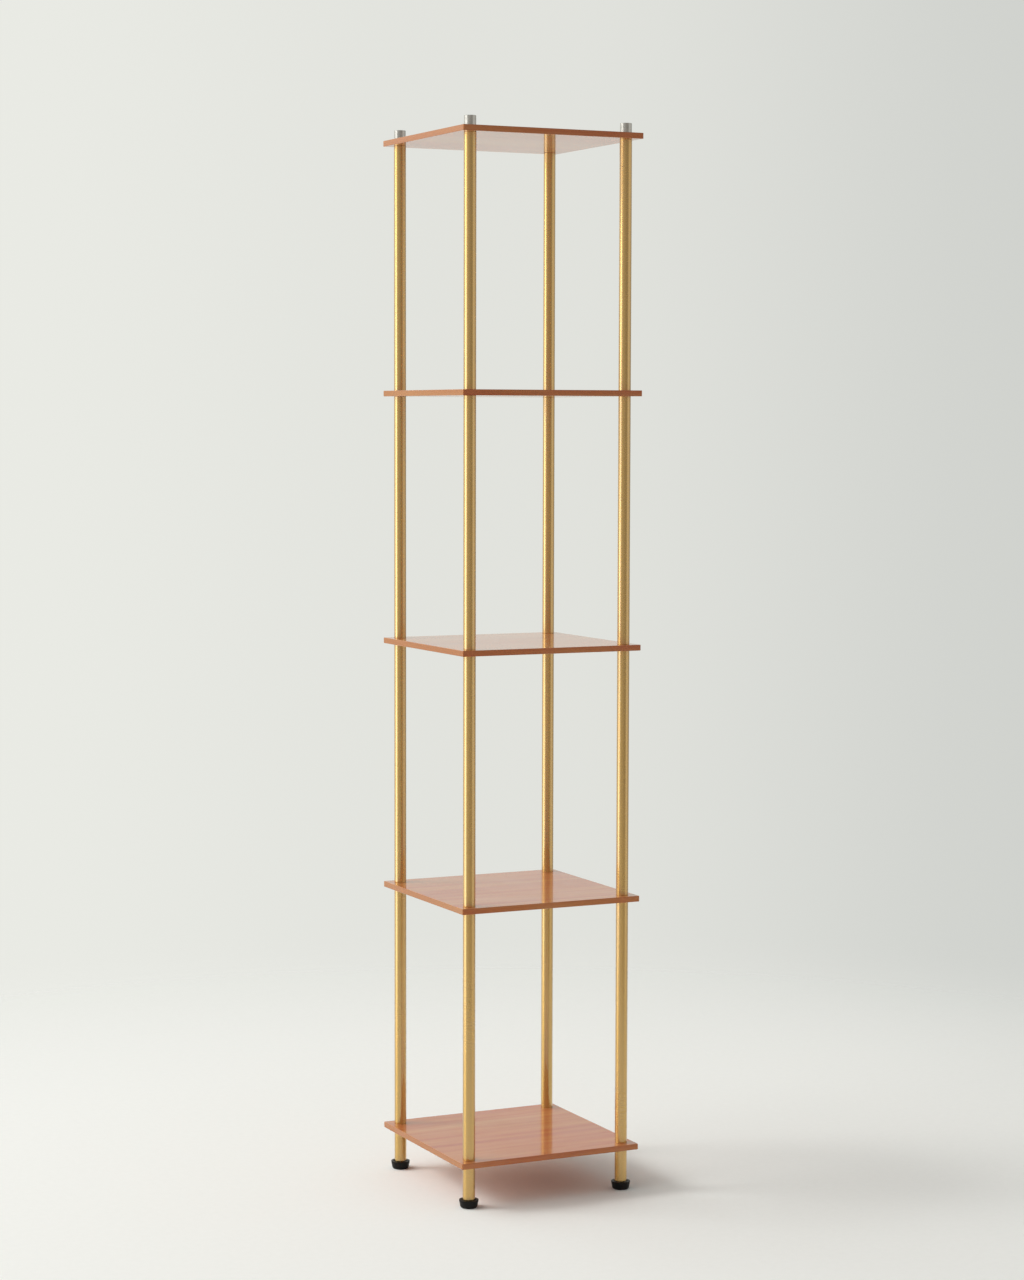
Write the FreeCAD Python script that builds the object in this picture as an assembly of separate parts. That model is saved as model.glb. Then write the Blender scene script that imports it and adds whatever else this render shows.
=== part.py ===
"""Shelf tower: five thin square boards on four slim round posts.

Each post is a stack of tubes. A tube stops at every board, and a threaded stud goes through
the board and into the plugs in the ends of the tubes above and below. Short leg tubes carry
the bottom board, and a levelling foot screws into the lower end of each. A plain cap nut on
the top stud closes each post.

Millimetres, +Z up. The origin is on the floor under the middle of the tower. X runs along
the grain of the boards. "Front" is the -Y side, and "left" is the -X side.
"""

import FreeCAD, Part
import math
import os

from FreeCAD import Vector

# ---- boards ----
SHELF_WIDTH = 300.0             # along X
SHELF_DEPTH = 300.0             # along Y
SHELF_THICKNESS = 9.0
SHELF_CORNER_RADIUS = 1.5       # upright corners, seen from above
SHELF_ARRIS_RADIUS = 0.8        # rounding of the upper and lower edges
BAY_COUNT = 4                   # clear bays between boards, so there is one board more

# ---- posts ----
BAY_HEIGHT = 379.0              # clear height between two boards, and a post tube's length
LEG_HEIGHT = 51.0               # leg tube under the bottom board
TUBE_DIAMETER = 19.0
TUBE_WALL = 1.0
POST_INSET_X = 20.0             # post axis from the board's left and right edges
POST_INSET_Y = 20.0             # post axis from the board's front and back edges
TUBE_END_CHAMFER = 0.25

# ---- threaded plugs in the tube ends, and the studs that join the tubes ----
THREAD_DIAMETER = 6.0
THREAD_CLEARANCE = 0.05         # on the radius, between a stud and its threaded hole
STUD_CHAMFER = 0.6
PLUG_LENGTH = 15.0
PLUG_CLEARANCE = 0.02           # on the radius, between a plug and its tube
JOINT_ENGAGEMENT = 12.0         # how far a joining stud enters a plug or a cap
SHELF_HOLE_CLEARANCE = 0.5      # on the radius, between a joining stud and the board

# ---- cap nuts ----
CAP_DIAMETER = 18.0
CAP_HEIGHT = 15.0
CAP_CHAMFER = 0.3
CAP_END_ROOM = 0.5              # above the stud, inside the blind hole

# ---- levelling feet ----
PAD_HEIGHT = 12.5
PAD_RIM_DIAMETER = 30.0
PAD_LOW_DIAMETER = 25.4         # where the tapered side would meet the floor
PAD_BASE_ROUNDING = 3.5
PAD_RIM_ROUNDING = 0.5
PAD_DISH_DIAMETER = 22.0
PAD_DISH_DEPTH = 1.5
PAD_FLOOR = 2.5                 # plastic left under the stud
FLUTE_COUNT = 18
FLUTE_RADIUS = 1.9
FLUTE_DEPTH = 0.7               # at the rim
FOOT_GAP = 0.5                  # from the pad's rim up to the leg tube, as stored
FOOT_STUD_LENGTH = 28.0
FOOT_STUD_END_GAP = 0.05        # between the stud's lower end and the bottom of its hole

# ---- derived levels and places ----
LEG_BOTTOM = PAD_HEIGHT + FOOT_GAP
LEG_TOP = LEG_BOTTOM + LEG_HEIGHT
LEVEL_PITCH = BAY_HEIGHT + SHELF_THICKNESS
SHELF_COUNT = BAY_COUNT + 1
TUBE_RADIUS = TUBE_DIAMETER / 2
TUBE_BORE_RADIUS = TUBE_RADIUS - TUBE_WALL
THREAD_RADIUS = THREAD_DIAMETER / 2
SAME_HEIGHT = 1e-6              # for picking edges by height
THREAD_HOLE_RADIUS = THREAD_RADIUS + THREAD_CLEARANCE
POST_X = SHELF_WIDTH / 2 - POST_INSET_X
POST_Y = SHELF_DEPTH / 2 - POST_INSET_Y

CORNERS = {
    "front_left": (-POST_X, -POST_Y),
    "front_right": (POST_X, -POST_Y),
    "back_left": (-POST_X, POST_Y),
    "back_right": (POST_X, POST_Y),
}


def shelf_bottom(level):
    """Height of the underside of board number level, counted from 0 at the bottom."""
    return LEG_TOP + level * LEVEL_PITCH


def shelf_top(level):
    return shelf_bottom(level) + SHELF_THICKNESS


def cylinder(radius, height, x=0.0, y=0.0, z=0.0):
    return Part.makeCylinder(radius, height, Vector(x, y, z))


def chamfered_rod(radius, height, chamfer, z=0.0):
    """Solid rod on the Z axis with both ends chamfered."""
    outline = [
        (0, z),
        (radius - chamfer, z),
        (radius, z + chamfer),
        (radius, z + height - chamfer),
        (radius - chamfer, z + height),
        (0, z + height),
    ]
    return turned(outline)


def turned(outline):
    """Solid made by turning a closed outline of (radius, height) points about the Z axis."""
    points = [Vector(radius, 0, height) for radius, height in outline]
    wire = Part.makePolygon(points + points[:1])
    return Part.Face(wire).revolve(Vector(), Vector(0, 0, 1), 360)


def placed(shape, x, y, z=0.0):
    moved = shape.copy()
    moved.translate(Vector(x, y, z))
    return moved


def save(node, *solids):
    """One file per named piece. A group of identical fasteners shares a file."""
    shape = solids[0] if len(solids) == 1 else Part.makeCompound(list(solids))
    shape.exportStep("parts/" + node + ".step")


def make_shelf(level):
    """Board with rounded edges and a hole for the joining stud at each post."""
    board = Part.makeBox(
        SHELF_WIDTH,
        SHELF_DEPTH,
        SHELF_THICKNESS,
        Vector(-SHELF_WIDTH / 2, -SHELF_DEPTH / 2, shelf_bottom(level)),
    )
    upright = [edge for edge in board.Edges if is_upright(edge)]
    board = board.makeFillet(SHELF_CORNER_RADIUS, upright)
    rim = [edge for edge in board.Edges if is_level(edge)]
    board = board.makeFillet(SHELF_ARRIS_RADIUS, rim)
    hole_radius = THREAD_RADIUS + SHELF_HOLE_CLEARANCE
    for x, y in CORNERS.values():
        hole = cylinder(hole_radius, SHELF_THICKNESS, x, y, shelf_bottom(level))
        board = board.cut(hole)
    return board


def is_upright(edge):
    return edge.BoundBox.ZLength > SHELF_THICKNESS / 2


def is_level(edge):
    return edge.BoundBox.ZLength < SHELF_THICKNESS / 2


def make_tube(length):
    """Post tube standing on z = 0, its outer end edges broken by a small chamfer."""
    outline = [
        (TUBE_BORE_RADIUS, 0),
        (TUBE_RADIUS - TUBE_END_CHAMFER, 0),
        (TUBE_RADIUS, TUBE_END_CHAMFER),
        (TUBE_RADIUS, length - TUBE_END_CHAMFER),
        (TUBE_RADIUS - TUBE_END_CHAMFER, length),
        (TUBE_BORE_RADIUS, length),
    ]
    return turned(outline)


def make_plug():
    """Threaded plug pressed into a tube's end, standing on z = 0."""
    body = cylinder(TUBE_BORE_RADIUS - PLUG_CLEARANCE, PLUG_LENGTH)
    return body.cut(cylinder(THREAD_HOLE_RADIUS, PLUG_LENGTH))


def plug_heights():
    """Undersides of every plug in one post: one in each end of the leg and of each tube."""
    heights = [LEG_BOTTOM, LEG_TOP - PLUG_LENGTH]
    for bay in range(BAY_COUNT):
        heights.append(shelf_top(bay))
        heights.append(shelf_bottom(bay + 1) - PLUG_LENGTH)
    return heights


def make_joining_stud():
    """Stud through one board, centred on the board's underside at z = 0."""
    length = SHELF_THICKNESS + 2 * JOINT_ENGAGEMENT
    return chamfered_rod(THREAD_RADIUS, length, STUD_CHAMFER, z=-JOINT_ENGAGEMENT)


def make_cap():
    """Plain round cap nut standing on z = 0, threaded from below and closed on top."""
    outline = [
        (0, 0),
        (CAP_DIAMETER / 2, 0),
        (CAP_DIAMETER / 2, CAP_HEIGHT - CAP_CHAMFER),
        (CAP_DIAMETER / 2 - CAP_CHAMFER, CAP_HEIGHT),
        (0, CAP_HEIGHT),
    ]
    return turned(outline).cut(cylinder(THREAD_HOLE_RADIUS, JOINT_ENGAGEMENT + CAP_END_ROOM))


def make_pad():
    """Moulded foot on z = 0: tapered fluted side, rounded base, dished top, stud hole."""
    low = PAD_LOW_DIAMETER / 2
    rim = PAD_RIM_DIAMETER / 2
    body = Part.makeCone(low, rim, PAD_HEIGHT)
    base_edges = [edge for edge in body.Edges if is_ring(edge, 0)]
    body = body.makeFillet(PAD_BASE_ROUNDING, base_edges)
    rim_edges = [edge for edge in body.Edges if is_ring(edge, PAD_HEIGHT)]
    body = body.makeFillet(PAD_RIM_ROUNDING, rim_edges)
    for number in range(FLUTE_COUNT):
        body = body.cut(flute_cutter(number))
    dish_floor = PAD_HEIGHT - PAD_DISH_DEPTH
    body = body.cut(cylinder(PAD_DISH_DIAMETER / 2, PAD_DISH_DEPTH, z=dish_floor))
    hole_depth = dish_floor - PAD_FLOOR
    return body.cut(cylinder(THREAD_HOLE_RADIUS, hole_depth, z=PAD_FLOOR))


def is_ring(edge, height):
    box = edge.BoundBox
    return abs(box.ZMin - height) < SAME_HEIGHT and abs(box.ZMax - height) < SAME_HEIGHT


def flute_cutter(number):
    """Upright rod that scoops one finger flute out of the pad's side."""
    turn = 2 * math.pi * number / FLUTE_COUNT
    reach = PAD_RIM_DIAMETER / 2 + FLUTE_RADIUS - FLUTE_DEPTH
    return cylinder(FLUTE_RADIUS, PAD_HEIGHT, reach * math.cos(turn), reach * math.sin(turn))


def make_foot_stud():
    """Foot stud, standing in the pad's hole and reaching up into the leg's lower plug."""
    start = PAD_FLOOR + FOOT_STUD_END_GAP
    return chamfered_rod(THREAD_RADIUS, FOOT_STUD_LENGTH, STUD_CHAMFER, z=start)


def write_shelves():
    for level in range(SHELF_COUNT):
        save("shelf_%d" % (level + 1), make_shelf(level))


def write_post(corner, x, y):
    """Every piece of one post, from its foot to its cap nut."""
    save("foot_pad_" + corner, placed(make_pad(), x, y))
    save("foot_stud_" + corner, placed(make_foot_stud(), x, y))
    save("leg_tube_" + corner, placed(make_tube(LEG_HEIGHT), x, y, LEG_BOTTOM))
    for bay in range(BAY_COUNT):
        tube = placed(make_tube(BAY_HEIGHT), x, y, shelf_top(bay))
        save("post_tube_%s_%d" % (corner, bay + 1), tube)
    plug = make_plug()
    save("tube_plugs_" + corner, *[placed(plug, x, y, z) for z in plug_heights()])
    stud = make_joining_stud()
    levels = range(SHELF_COUNT)
    save("joining_studs_" + corner, *[placed(stud, x, y, shelf_bottom(n)) for n in levels])
    save("cap_nut_" + corner, placed(make_cap(), x, y, shelf_top(SHELF_COUNT - 1)))


os.makedirs("parts", exist_ok=True)
write_shelves()
for corner_name, (corner_x, corner_y) in CORNERS.items():
    write_post(corner_name, corner_x, corner_y)
print("overall height %.1f mm" % (shelf_top(SHELF_COUNT - 1) + CAP_HEIGHT))
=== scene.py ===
"""Looks of the shelf tower: boards of glossy cherry-coloured veneer, satin brass-coloured tubes,
turned aluminium cap nuts, black moulded feet and zinc-plated threaded foot studs.

Metres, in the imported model's frame: the origin is on the floor under the middle of the tower.
"""

import math

import bmesh
import bpy
from mathutils import Matrix, Vector


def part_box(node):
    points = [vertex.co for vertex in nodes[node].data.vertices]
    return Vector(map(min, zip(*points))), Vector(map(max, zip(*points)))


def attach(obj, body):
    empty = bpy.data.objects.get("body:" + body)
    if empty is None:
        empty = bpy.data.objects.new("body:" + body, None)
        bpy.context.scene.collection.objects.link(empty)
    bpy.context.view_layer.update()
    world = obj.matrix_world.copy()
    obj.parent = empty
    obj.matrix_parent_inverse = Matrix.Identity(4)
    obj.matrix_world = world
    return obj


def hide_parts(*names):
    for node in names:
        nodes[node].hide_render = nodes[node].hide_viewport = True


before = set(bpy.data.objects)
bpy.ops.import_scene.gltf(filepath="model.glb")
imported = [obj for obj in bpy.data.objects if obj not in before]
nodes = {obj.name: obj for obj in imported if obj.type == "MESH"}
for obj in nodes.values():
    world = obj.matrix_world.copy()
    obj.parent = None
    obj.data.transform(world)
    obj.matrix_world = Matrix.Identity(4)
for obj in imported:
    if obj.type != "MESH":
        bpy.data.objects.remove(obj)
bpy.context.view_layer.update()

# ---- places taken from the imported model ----
CORNERS = ("front_left", "front_right", "back_left", "back_right")
SHELVES = ["shelf_%d" % number for number in range(1, 6)]
cap_low, cap_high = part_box("cap_nut_front_right")
POST_X = (cap_low.x + cap_high.x) / 2
POST_Y = -(cap_low.y + cap_high.y) / 2

# ---- the photograph's camera ----
CAMERA_PLACE = (-1.9729, -4.1129, 1.1924)
CAMERA_YAW, CAMERA_PITCH, CAMERA_ROLL = -25.660, -4.286, -0.131
CAMERA_LENS, CAMERA_SENSOR = 82.74, 36.0
CAMERA_CLIP = (0.05, 60.0)


# ------------------------------------------------------------------ node helpers


class Graph:
    """Short spellings for building a node tree."""

    def __init__(self, tree):
        self.tree = tree
        tree.nodes.clear()

    def node(self, kind, **settings):
        made = self.tree.nodes.new(kind)
        for name, value in settings.items():
            setattr(made, name, value)
        return made

    def link(self, source, target):
        """Connects a socket to an input, or sets a plain value on it."""
        if isinstance(source, bpy.types.NodeSocket):
            self.tree.links.new(source, target)
        else:
            target.default_value = source

    def math(self, operation, *values):
        made = self.node("ShaderNodeMath", operation=operation)
        for socket, value in zip(made.inputs, values):
            self.link(value, socket)
        return made.outputs[0]

    def mix(self, factor, low, high):
        """Mix of two colours. Its colour sockets come after the ones for numbers and vectors."""
        made = self.node("ShaderNodeMix", data_type="RGBA")
        self.link(factor, made.inputs[0])
        self.link(low, made.inputs[6])
        self.link(high, made.inputs[7])
        return made.outputs[2]

    def mix_vector(self, factor, low, high):
        made = self.node("ShaderNodeMix", data_type="VECTOR")
        self.link(factor, made.inputs[0])
        self.link(low, made.inputs[4])
        self.link(high, made.inputs[5])
        return made.outputs[1]

    def span(self, value, low, high, to_low=0.0, to_high=1.0):
        """Smooth step from to_low to to_high while the value goes from low to high."""
        made = self.node("ShaderNodeMapRange", interpolation_type="SMOOTHSTEP")
        self.link(value, made.inputs[0])
        for index, number in enumerate((low, high, to_low, to_high)):
            made.inputs[1 + index].default_value = number
        return made.outputs[0]

    def noise(self, vector, detail=2.0, roughness=0.5):
        """Noise whose size comes from the vector, which stretched() has scaled."""
        made = self.node("ShaderNodeTexNoise")
        self.link(vector, made.inputs["Vector"])
        made.inputs["Scale"].default_value = 1.0
        made.inputs["Detail"].default_value = detail
        made.inputs["Roughness"].default_value = roughness
        return made.outputs[0]

    def stretched(self, vector, scale, shift=(0.0, 0.0, 0.0)):
        made = self.node("ShaderNodeMapping")
        self.link(vector, made.inputs["Vector"])
        made.inputs["Location"].default_value = shift
        made.inputs["Scale"].default_value = scale
        return made.outputs[0]

    def ramp(self, value, stops, interpolation="LINEAR"):
        made = self.node("ShaderNodeValToRGB")
        ramp = made.color_ramp
        ramp.interpolation = interpolation
        while len(ramp.elements) < len(stops):
            ramp.elements.new(0.5)
        for element, (place, colour) in zip(ramp.elements, stops):
            element.position = place
            element.color = (*colour, 1.0)
        self.link(value, made.inputs[0])
        return made.outputs[0]

    def place(self):
        return self.node("ShaderNodeTexCoord").outputs["Object"]

    def parts(self, vector):
        made = self.node("ShaderNodeSeparateXYZ")
        self.link(vector, made.inputs[0])
        return made.outputs[0], made.outputs[1], made.outputs[2]

    def vector(self, x, y, z):
        made = self.node("ShaderNodeCombineXYZ")
        for socket, value in zip(made.inputs, (x, y, z)):
            self.link(value, socket)
        return made.outputs[0]

    def bump(self, height, strength, distance):
        made = self.node("ShaderNodeBump")
        made.inputs["Strength"].default_value = strength
        made.inputs["Distance"].default_value = distance
        self.link(height, made.inputs["Height"])
        return made.outputs[0]


def new_finish(name, **uniform):
    """A material with one Principled shader, and its graph. Uniform values go on the shader."""
    material = bpy.data.materials.new(name)
    material.use_nodes = True
    graph = Graph(material.node_tree)
    shader = graph.node("ShaderNodeBsdfPrincipled")
    output = graph.node("ShaderNodeOutputMaterial")
    graph.link(shader.outputs[0], output.inputs["Surface"])
    for key, value in uniform.items():
        shader.inputs[key.replace("_", " ")].default_value = value
    return material, graph, shader


# ------------------------------------------------------------------ finishes


# distances on a board's edge, up or down from the middle of its thickness
EDGE_LINE_HEIGHT = 0.0036
EDGE_LINE_FADE = (0.00008, 0.00022)
PALER_ARRIS_BAND = (0.0040, 0.0045)
# how far along the veneer the strips on the left and right edges are cut from
END_STRIP_SHIFT = 1.7
# width of the band in which the grain wanders across the board
GRAIN_SWAY = 0.03
# A face's normal tells where it is on the board. Its X part is over the first number on the
# left and right edges. Its Z part is under the second one on all four edges, and over the
# third one on the flat faces.
END_EDGE_NORMAL = 0.72
SIDE_NORMAL = 0.5
FLAT_NORMAL = 0.97


def make_wood(number, low, high):
    """Lacquered cherry veneer, the grain along X. Every board gets its own stretch of veneer."""
    material, g, shader = new_finish(
        "cherry_veneer_%d" % number,
        Metallic=0.0,
        IOR=1.5,
        Specular_IOR_Level=0.08,
        Coat_Weight=1.0,
        Coat_Roughness=0.08,
        Coat_IOR=1.48,
    )
    place = g.place()
    x, y, z = g.parts(place)
    normal_x, _, normal_z = g.parts(g.node("ShaderNodeNewGeometry").outputs["Normal"])
    flatness = g.math("ABSOLUTE", normal_z)
    end_edge = g.math("GREATER_THAN", g.math("ABSOLUTE", normal_x), END_EDGE_NORMAL)
    end_strip = g.vector(g.math("ADD", y, END_STRIP_SHIFT), z, x)
    grain = g.mix_vector(end_edge, place, end_strip)
    seed = (3.71 * number, 1.93 * number, 0.37 * number)

    sway = g.noise(g.stretched(grain, (2.2, 9.0, 9.0), seed), 2.0)
    swayed = g.node("ShaderNodeVectorMath", operation="ADD")
    g.link(grain, swayed.inputs[0])
    shift_y = g.math("MULTIPLY", g.math("SUBTRACT", sway, 0.5), GRAIN_SWAY)
    g.link(g.vector(0.0, shift_y, 0.0), swayed.inputs[1])
    swayed = swayed.outputs[0]

    broad = g.noise(g.stretched(swayed, (1.6, 21.0, 21.0), seed), 2.0, 0.55)
    figure = g.noise(g.stretched(swayed, (2.6, 62.0, 62.0), seed), 3.0, 0.55)
    fibre = g.noise(g.stretched(swayed, (16.0, 620.0, 620.0), seed), 3.0, 0.6)
    pores = g.noise(g.stretched(swayed, (70.0, 1700.0, 1700.0), seed), 1.0, 0.5)

    tone = g.math("ADD", g.math("MULTIPLY", broad, 0.6), g.math("MULTIPLY", figure, 0.4))
    tone = g.math("ADD", g.math("MULTIPLY", tone, 0.86), g.math("MULTIPLY", fibre, 0.14))
    colour = g.ramp(tone, [
        (0.34, (0.415, 0.070, 0.018)),
        (0.44, (0.490, 0.110, 0.028)),
        (0.56, (0.550, 0.190, 0.056)),
        (0.66, (0.600, 0.275, 0.095)),
    ])
    pore_mask = g.span(pores, 0.70, 0.78, 0.0, 0.55)
    colour = g.mix(pore_mask, colour, (0.230, 0.070, 0.032, 1.0))

    # a thin darker line on the four edges only, near their upper and lower rims
    side = g.math("LESS_THAN", flatness, SIDE_NORMAL)
    height = g.math("ABSOLUTE", g.math("SUBTRACT", z, (low.z + high.z) / 2))
    off_edge_line = g.math("ABSOLUTE", g.math("SUBTRACT", height, EDGE_LINE_HEIGHT))
    edge_line = g.math("MULTIPLY", side, g.span(off_edge_line, *EDGE_LINE_FADE, 1.0, 0.0))
    colour = g.mix(g.math("MULTIPLY", edge_line, 0.5), colour, (0.20, 0.065, 0.035, 1.0))

    # the strips on the left and right edges are painted darker and browner than the faces:
    # painted shade that holds down the light on the lit left edges
    colour = g.mix(g.math("MULTIPLY", end_edge, 0.70), colour, (0.340, 0.143, 0.028, 1.0))

    # the rounded rims along the top and bottom of the four edges are painted a little paler
    paler_arris = g.span(height, *PALER_ARRIS_BAND, 0.0, 0.22)
    paler_arris = g.math("MULTIPLY", paler_arris, g.math("LESS_THAN", flatness, FLAT_NORMAL))
    colour = g.mix(paler_arris, colour, (0.62, 0.33, 0.19, 1.0))
    g.link(colour, shader.inputs["Base Color"])

    haze = g.noise(g.stretched(place, (9.0, 13.0, 9.0), seed), 3.0, 0.6)
    g.link(g.span(haze, 0.3, 0.75, 0.36, 0.52), shader.inputs["Roughness"])
    relief = g.math("SUBTRACT", fibre, g.math("MULTIPLY", pore_mask, 0.8))
    g.link(g.bump(relief, 0.12, 0.0002), shader.inputs["Normal"])
    return material


def post_radius(g):
    """Distance from the axis of the nearest post, and the height."""
    x, y, z = g.parts(g.place())
    off_x = g.math("SUBTRACT", g.math("ABSOLUTE", x), POST_X)
    off_y = g.math("SUBTRACT", g.math("ABSOLUTE", y), POST_Y)
    square = g.math("ADD", g.math("MULTIPLY", off_x, off_x), g.math("MULTIPLY", off_y, off_y))
    return g.math("SQRT", square), z


def make_brass():
    """Ground and lacquered brass-coloured tube: satin, with fine lines running round it."""
    material, g, shader = new_finish(
        "satin_brass",
        Metallic=1.0,
        IOR=1.5,
        # the lines run round the tube, so they spread a reflection up and down it
        Anisotropic=1.0,
        Anisotropic_Rotation=0.25,
        Coat_Weight=1.0,
        Coat_Roughness=0.10,
        Coat_IOR=1.85,
    )
    place = g.place()
    lines = g.noise(g.stretched(place, (6.0, 6.0, 900.0)), 2.0, 0.5)
    cloud = g.noise(g.stretched(place, (22.0, 22.0, 5.0)), 3.0, 0.55)
    tone = g.math("ADD", g.math("MULTIPLY", cloud, 0.6), g.math("MULTIPLY", lines, 0.4))
    colour = g.ramp(tone, [
        (0.30, (0.620, 0.376, 0.084)),
        (0.50, (0.645, 0.394, 0.093)),
        (0.70, (0.670, 0.412, 0.104)),
    ])
    g.link(colour, shader.inputs["Base Color"])
    rough = g.math("ADD", g.span(cloud, 0.3, 0.7, 0.24, 0.28),
                   g.math("MULTIPLY", g.math("SUBTRACT", lines, 0.5), 0.04))
    g.link(rough, shader.inputs["Roughness"])
    g.link(g.bump(lines, 0.02, 0.00003), shader.inputs["Normal"])
    return material


TURNING_FINENESS = 4200.0       # noise steps in a metre, across the lathe's rings


def make_aluminium():
    """Satin aluminium, turned: fine rings on the flat top and round the side."""
    material, g, shader = new_finish("turned_aluminium", Metallic=1.0, IOR=1.5)
    radius, z = post_radius(g)
    across = g.math("MULTIPLY", radius, TURNING_FINENESS)
    up = g.math("MULTIPLY", z, TURNING_FINENESS)
    rings = g.noise(g.vector(across, 0.0, up), 2.0, 0.55)
    cloud = g.noise(g.stretched(g.place(), (140.0, 140.0, 140.0)), 3.0, 0.55)
    tone = g.math("ADD", g.math("MULTIPLY", cloud, 0.6), g.math("MULTIPLY", rings, 0.4))
    colour = g.ramp(tone, [
        (0.30, (0.48, 0.465, 0.410)),
        (0.55, (0.56, 0.547, 0.495)),
        (0.75, (0.64, 0.630, 0.585)),
    ])
    g.link(colour, shader.inputs["Base Color"])
    g.link(g.span(cloud, 0.3, 0.7, 0.24, 0.32), shader.inputs["Roughness"])
    g.link(g.bump(rings, 0.10, 0.00008), shader.inputs["Normal"])
    return material


def make_zinc():
    """Zinc-plated steel: cool, a little patchy, half bright."""
    material, g, shader = new_finish("zinc_plated_steel", Metallic=1.0, IOR=1.5)
    place = g.place()
    patches = g.noise(g.stretched(place, (420.0, 420.0, 300.0)), 3.0, 0.6)
    grain = g.noise(g.stretched(place, (2600.0, 2600.0, 2600.0)), 2.0, 0.5)
    colour = g.ramp(patches, [
        (0.30, (0.50, 0.505, 0.515)),
        (0.55, (0.63, 0.635, 0.64)),
        (0.75, (0.71, 0.71, 0.70)),
    ])
    g.link(colour, shader.inputs["Base Color"])
    g.link(g.span(patches, 0.3, 0.7, 0.22, 0.36), shader.inputs["Roughness"])
    g.link(g.bump(grain, 0.08, 0.00005), shader.inputs["Normal"])
    return material


SCUFFED_BAND = (0.0006, 0.0032)     # heights over the pad's base where the scuffing fades


def make_plastic():
    """Black moulded plastic with a fine spark-eroded grain, scuffed grey low down."""
    material, g, shader = new_finish("black_moulded_plastic",
                                     Metallic=0.0, IOR=1.46, Specular_IOR_Level=0.22)
    place = g.place()
    height = g.parts(place)[2]
    grain = g.noise(g.stretched(place, (3200.0, 3200.0, 3200.0)), 2.0, 0.6)
    dust = g.noise(g.stretched(place, (260.0, 260.0, 260.0)), 4.0, 0.65)
    colour = g.ramp(dust, [
        (0.35, (0.0036, 0.0034, 0.0030)),
        (0.60, (0.0058, 0.0055, 0.0048)),
        (0.78, (0.0120, 0.0114, 0.0102)),
    ])
    low = g.span(height, *SCUFFED_BAND, 1.0, 0.0)
    scuff = g.math("MULTIPLY", low, g.span(dust, 0.46, 0.62, 0.0, 0.7))
    colour = g.mix(scuff, colour, (0.070, 0.066, 0.060, 1.0))
    g.link(colour, shader.inputs["Base Color"])
    rough = g.math("ADD", g.span(dust, 0.35, 0.7, 0.34, 0.46), g.math("MULTIPLY", scuff, 0.2))
    g.link(rough, shader.inputs["Roughness"])
    g.link(g.bump(grain, 0.18, 0.00006), shader.inputs["Normal"])
    return material


BRASS = make_brass()
ALUMINIUM = make_aluminium()
ZINC = make_zinc()
PLASTIC = make_plastic()


def finish_node(name, material):
    """Puts one material on every slot of a carried-over CAD node."""
    mesh = nodes[name].data
    if not mesh.materials:
        mesh.materials.append(material)
    for index in range(len(mesh.materials)):
        mesh.materials[index] = material


for shelf_number, shelf in enumerate(SHELVES, start=1):
    finish_node(shelf, make_wood(shelf_number, *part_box(shelf)))

PREFIX_FINISHES = {
    "leg_tube_": BRASS,
    "post_tube_": BRASS,
    "cap_nut_": ALUMINIUM,
    "foot_pad_": PLASTIC,
    "foot_stud_": ZINC,
    "joining_studs_": ZINC,
    "tube_plugs_": ZINC,
}
for node_name in nodes:
    for prefix, finish in PREFIX_FINISHES.items():
        if node_name.startswith(prefix):
            finish_node(node_name, finish)


# ------------------------------------------------------------------ threaded foot studs

THREAD_PITCH = 0.001
THREAD_DEPTH = 0.00056
THREAD_CHAMFER = 0.0006
THREAD_COLUMNS = 40
THREAD_START = 1.5              # pitches below the stud's end, so that every column reaches it
MERGE_DISTANCE = 2e-6
SHORTEST_EDGE = 1e-6
# share of the thread's depth at each step of one pitch: root, flank, crest, flank
THREAD_PROFILE = (1.0, 1.0, 0.55, 0.08, 0.0, 0.0, 0.08, 0.55)


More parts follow.
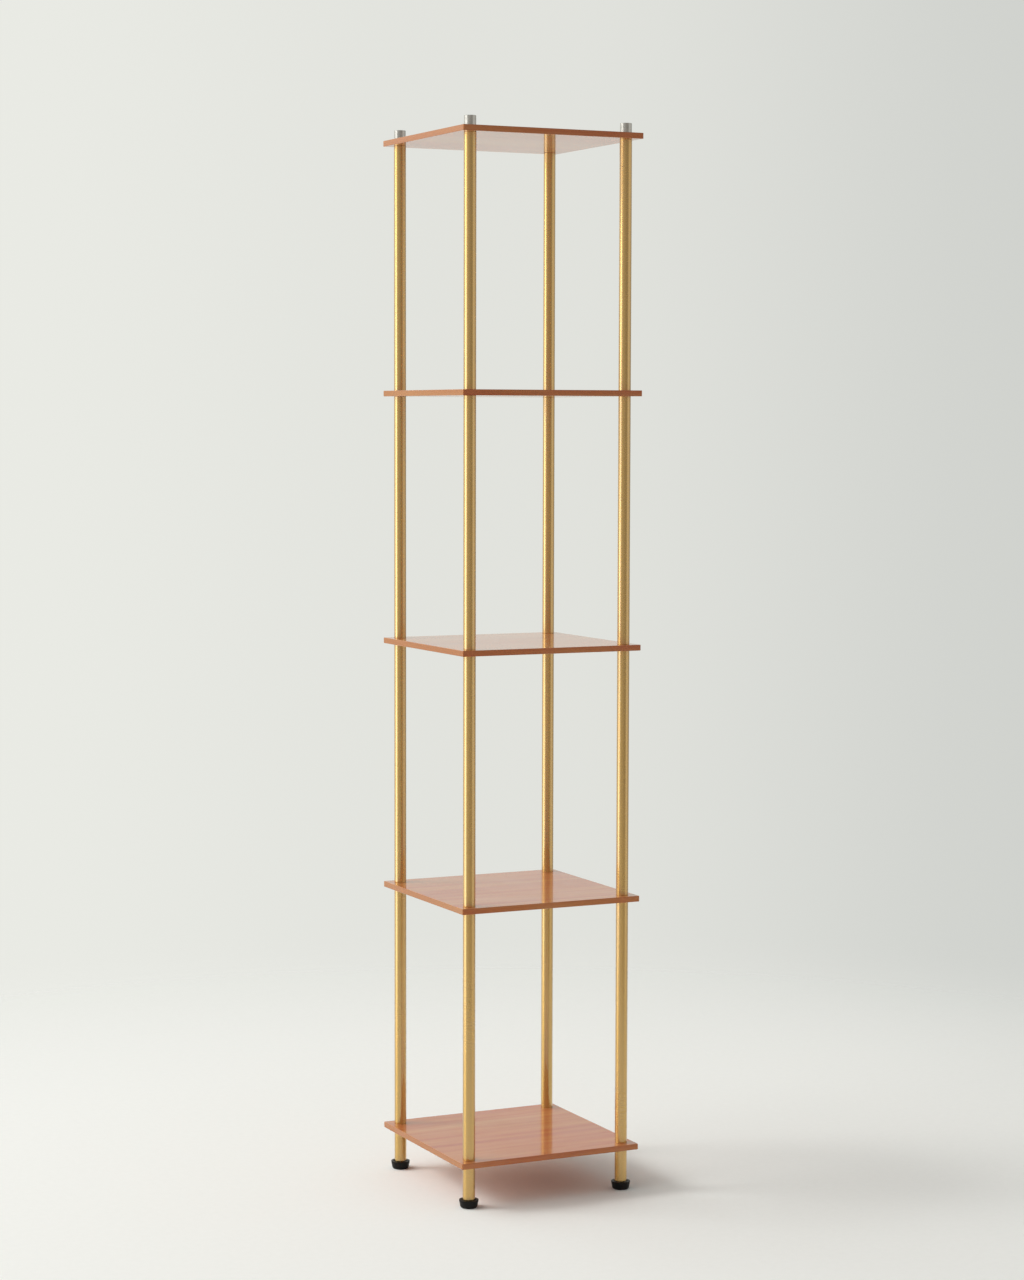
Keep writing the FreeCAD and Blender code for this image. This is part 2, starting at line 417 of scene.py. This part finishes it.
def make_thread(corner):
    """A right-hand thread with rows that follow the helix, chamfered at both ends."""
    low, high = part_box("foot_stud_" + corner)
    axis = (low + high) / 2
    radius = (high.x - low.x) / 2
    steps = len(THREAD_PROFILE)
    rows = int((high.z - low.z) / THREAD_PITCH * steps) + 2 * steps
    mesh = bmesh.new()
    grid = []
    for row in range(rows + 1):
        ring = []
        for column in range(THREAD_COLUMNS):
            turn = column / THREAD_COLUMNS
            height = low.z + THREAD_PITCH * (row / steps + turn - THREAD_START)
            height = min(max(height, low.z), high.z)
            reach = radius - THREAD_DEPTH * THREAD_PROFILE[row % steps]
            end_room = min(height - low.z, high.z - height)
            reach = min(reach, radius - THREAD_CHAMFER + end_room)
            angle = 2 * math.pi * turn
            ring.append(mesh.verts.new((
                axis.x + reach * math.cos(angle),
                axis.y + reach * math.sin(angle),
                height,
            )))
        grid.append(ring)
    for row in range(rows):
        for column in range(THREAD_COLUMNS):
            # the last column joins the first one, a whole pitch further up
            lift = steps if column + 1 == THREAD_COLUMNS else 0
            if row + 1 + lift > rows:
                continue
            after = (column + 1) % THREAD_COLUMNS
            corners = (
                grid[row][column],
                grid[row + lift][after],
                grid[row + 1 + lift][after],
                grid[row + 1][column],
            )
            mesh.faces.new(corners)
    bmesh.ops.remove_doubles(mesh, verts=mesh.verts, dist=MERGE_DISTANCE)
    bmesh.ops.dissolve_degenerate(mesh, edges=mesh.edges, dist=SHORTEST_EDGE)
    bmesh.ops.holes_fill(mesh, edges=[e for e in mesh.edges if e.is_boundary], sides=0)
    bmesh.ops.recalc_face_normals(mesh, faces=mesh.faces)
    for face in mesh.faces:
        # the two end faces, which have many corners, stay flat
        face.smooth = len(face.verts) <= 4
    data = bpy.data.meshes.new("foot_thread_" + corner)
    mesh.to_mesh(data)
    mesh.free()
    data.materials.append(ZINC)
    piece = bpy.data.objects.new("foot_thread_" + corner, data)
    bpy.context.scene.collection.objects.link(piece)
    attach(piece, "foot_stud_" + corner)
    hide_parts("foot_stud_" + corner)


for corner_name in CORNERS:
    make_thread(corner_name)


# ------------------------------------------------------------------ camera

yaw, pitch, roll = (math.radians(a) for a in (CAMERA_YAW, CAMERA_PITCH, CAMERA_ROLL))
camera_data = bpy.data.cameras.new("camera")
camera_data.lens = CAMERA_LENS
camera_data.sensor_width = CAMERA_SENSOR
camera_data.sensor_fit = "AUTO"
camera_data.clip_start, camera_data.clip_end = CAMERA_CLIP
camera = bpy.data.objects.new("camera", camera_data)
camera.matrix_world = Matrix.Translation(CAMERA_PLACE) @ (
    Matrix.Rotation(yaw, 4, "Z")
    @ Matrix.Rotation(pitch, 4, "X")
    @ Matrix.Rotation(roll, 4, "Y")
    @ Matrix.Rotation(math.pi / 2, 4, "X")
)
bpy.context.scene.collection.objects.link(camera)
bpy.context.scene.camera = camera
RIGHT = Vector((math.cos(yaw), math.sin(yaw), 0.0))
BEHIND = Vector((-math.sin(yaw), math.cos(yaw), 0.0))


# ------------------------------------------------------------------ floor, world and lamp

FLOOR_RADIUS = 5.0
FLOOR_SIDES = 96
FLOOR_FADE = (0.8, 2.3)         # distances from the middle between which the floor fades out


def make_floor():
    """Pale paper floor that fades out round the tower into the pale surround."""
    mesh = bmesh.new()
    bmesh.ops.create_circle(mesh, cap_ends=True, segments=FLOOR_SIDES, radius=FLOOR_RADIUS)
    data = bpy.data.meshes.new("floor")
    mesh.to_mesh(data)
    mesh.free()
    floor = bpy.data.objects.new("floor", data)
    bpy.context.scene.collection.objects.link(floor)
    material = bpy.data.materials.new("pale_paper")
    material.use_nodes = True
    g = Graph(material.node_tree)
    output = g.node("ShaderNodeOutputMaterial")
    paper = g.node("ShaderNodeBsdfDiffuse")
    fibres = g.noise(g.stretched(g.place(), (90.0, 90.0, 90.0)), 3.0, 0.6)
    shade = g.ramp(fibres, [
        (0.3, (0.895, 0.905, 0.866)),
        (0.7, (0.912, 0.922, 0.884)),
    ])
    g.link(shade, paper.inputs["Color"])
    clear = g.node("ShaderNodeBsdfTransparent")
    x, y, _ = g.parts(g.place())
    radius = g.math("SQRT", g.math("ADD", g.math("MULTIPLY", x, x), g.math("MULTIPLY", y, y)))
    fade = g.node("ShaderNodeMixShader")
    g.link(g.span(radius, *FLOOR_FADE), fade.inputs[0])
    g.link(paper.outputs[0], fade.inputs[1])
    g.link(clear.outputs[0], fade.inputs[2])
    g.link(fade.outputs[0], output.inputs["Surface"])
    data.materials.append(material)


def grey(level, warmth=0.0):
    return (level * (1 + warmth), level, level * (1 - warmth))


BLACK = (0.0, 0.0, 0.0, 1.0)
CEILING = (*grey(0.30, 0.01), 1.0)
CEILING_BAND = (0.70, 0.92)     # Z of a direction: 0 is the horizon and 1 is straight up


def make_world():
    """A pale studio: bright on the camera's left, falling off to the right and the front."""
    world = bpy.data.worlds.new("studio")
    world.use_nodes = True
    bpy.context.scene.world = world
    g = Graph(world.node_tree)
    x, y, z = g.parts(g.node("ShaderNodeTexCoord").outputs["Generated"])

    def along(axis):
        return g.math("ADD", g.math("MULTIPLY", x, axis.x), g.math("MULTIPLY", y, axis.y))

    turn = g.math("ARCTAN2", along(RIGHT), along(BEHIND))
    share = g.math("ADD", g.math("DIVIDE", turn, 2 * math.pi), 0.5)

    # what the camera sees. A share of 0.5 is behind the tower, 0.25 the camera's left and
    # 0.75 its right
    backdrop = g.ramp(share, [
        (0.40, (0.835, 0.842, 0.796)),
        (0.47, (0.820, 0.828, 0.780)),
        (0.50, (0.758, 0.766, 0.725)),
        (0.53, (0.632, 0.645, 0.615)),
        (0.60, (0.600, 0.612, 0.585)),
        (0.75, (0.640, 0.650, 0.620)),
        (1.00, (0.760, 0.766, 0.740)),
    ], "EASE")
    # light on the tower and floor, from above the horizon and from below it
    above = g.ramp(share, [
        (0.00, grey(0.38, 0.02)),
        (0.08, grey(0.42, 0.01)),
        (0.17, grey(2.45)),
        (0.34, grey(2.45)),
        (0.44, grey(0.98)),
        (0.51, (0.715, 0.718, 0.662)),
        (0.60, grey(0.47, 0.02)),
        (0.90, grey(0.34, 0.03)),
    ], "EASE")
    below = g.ramp(share, [
        (0.00, grey(0.44, 0.03)),
        (0.15, grey(0.95)),
        (0.25, grey(1.45)),
        (0.33, grey(1.05)),
        (0.50, (0.760, 0.768, 0.728)),
        (0.70, grey(0.52, 0.02)),
        (0.88, grey(0.40, 0.04)),
    ], "EASE")
    light = g.mix(g.span(z, *CEILING_BAND), above, CEILING)
    # little light comes in just over the floor, so the shadow under the bottom board is deep
    light = g.mix(g.span(z, 0.34, 0.06, 0.0, 0.55), light, BLACK)
    light = g.mix(g.span(z, 0.02, -0.14), light, below)
    # what polished surfaces show: a bright soft box on the left, a dimmer one on the right,
    # and a darker studio between them and in front
    mirrored = g.ramp(share, [
        (0.00, grey(0.54, 0.08)),
        (0.06, grey(0.45, 0.06)),
        (0.12, grey(0.46, 0.04)),
        (0.15, grey(1.10)),
        (0.175, grey(3.10)),
        (0.235, grey(3.10)),
        (0.27, grey(1.30)),
        (0.32, grey(0.72)),
        (0.38, (0.660, 0.668, 0.630)),
        (0.46, (0.800, 0.802, 0.740)),
        (0.50, (0.735, 0.738, 0.680)),
        (0.55, (0.590, 0.598, 0.560)),
        (0.60, grey(0.36, 0.02)),
        (0.67, grey(0.36, 0.02)),
        (0.73, grey(0.66, 0.02)),
        (0.78, grey(0.98, 0.02)),
        (0.82, grey(0.92, 0.02)),
        (0.87, grey(0.42, 0.06)),
        (0.91, grey(0.30, 0.10)),
        (0.95, grey(0.42, 0.10)),
    ], "EASE")
    # the soft boxes end just over the horizon, and a plainer room is over them
    overhead = g.ramp(share, [
        (0.00, grey(0.40, 0.02)),
        (0.12, grey(0.55, 0.01)),
        (0.22, grey(1.10)),
        (0.34, grey(1.00)),
        (0.44, (0.820, 0.822, 0.755)),
        (0.51, (0.735, 0.738, 0.675)),
        (0.60, grey(0.50, 0.02)),
        (0.78, grey(0.70, 0.02)),
        (0.90, grey(0.36, 0.03)),
    ], "EASE")
    mirrored = g.mix(g.span(z, 0.00, 0.12), mirrored, overhead)
    mirrored = g.mix(g.span(z, *CEILING_BAND), mirrored, CEILING)
    mirrored = g.mix(g.span(z, -0.10, -0.26), mirrored, below)
    rays = g.node("ShaderNodeLightPath").outputs
    glossy = g.math("MAXIMUM", rays["Is Glossy Ray"], rays["Is Transmission Ray"])
    background = g.node("ShaderNodeBackground")
    shown = g.mix(rays["Is Camera Ray"], g.mix(glossy, light, mirrored), backdrop)
    g.link(shown, background.inputs["Color"])
    background.inputs["Strength"].default_value = 1.0
    output = g.node("ShaderNodeOutputWorld")
    g.link(background.outputs[0], output.inputs["Surface"])


KEY_PLACE = -4.5 * RIGHT + Vector((0.0, 0.0, 3.6))
KEY_TARGET = Vector((0.0, 0.0, 0.6))
KEY_SIDE = 1.6
KEY_WATTS = 95.0


def make_key_lamp():
    """A soft square lamp up on the camera's left, which the camera doesn't see."""
    data = bpy.data.lights.new("key", "AREA")
    data.shape = "RECTANGLE"
    data.size = data.size_y = KEY_SIDE
    data.energy = KEY_WATTS
    lamp = bpy.data.objects.new("key", data)
    lamp.location = KEY_PLACE
    lamp.rotation_mode = "QUATERNION"
    lamp.rotation_quaternion = (KEY_TARGET - KEY_PLACE).to_track_quat("-Z", "Y")
    lamp.visible_camera = False
    bpy.context.scene.collection.objects.link(lamp)


make_floor()
make_world()
make_key_lamp()

bpy.context.scene.view_settings.view_transform = "Standard"
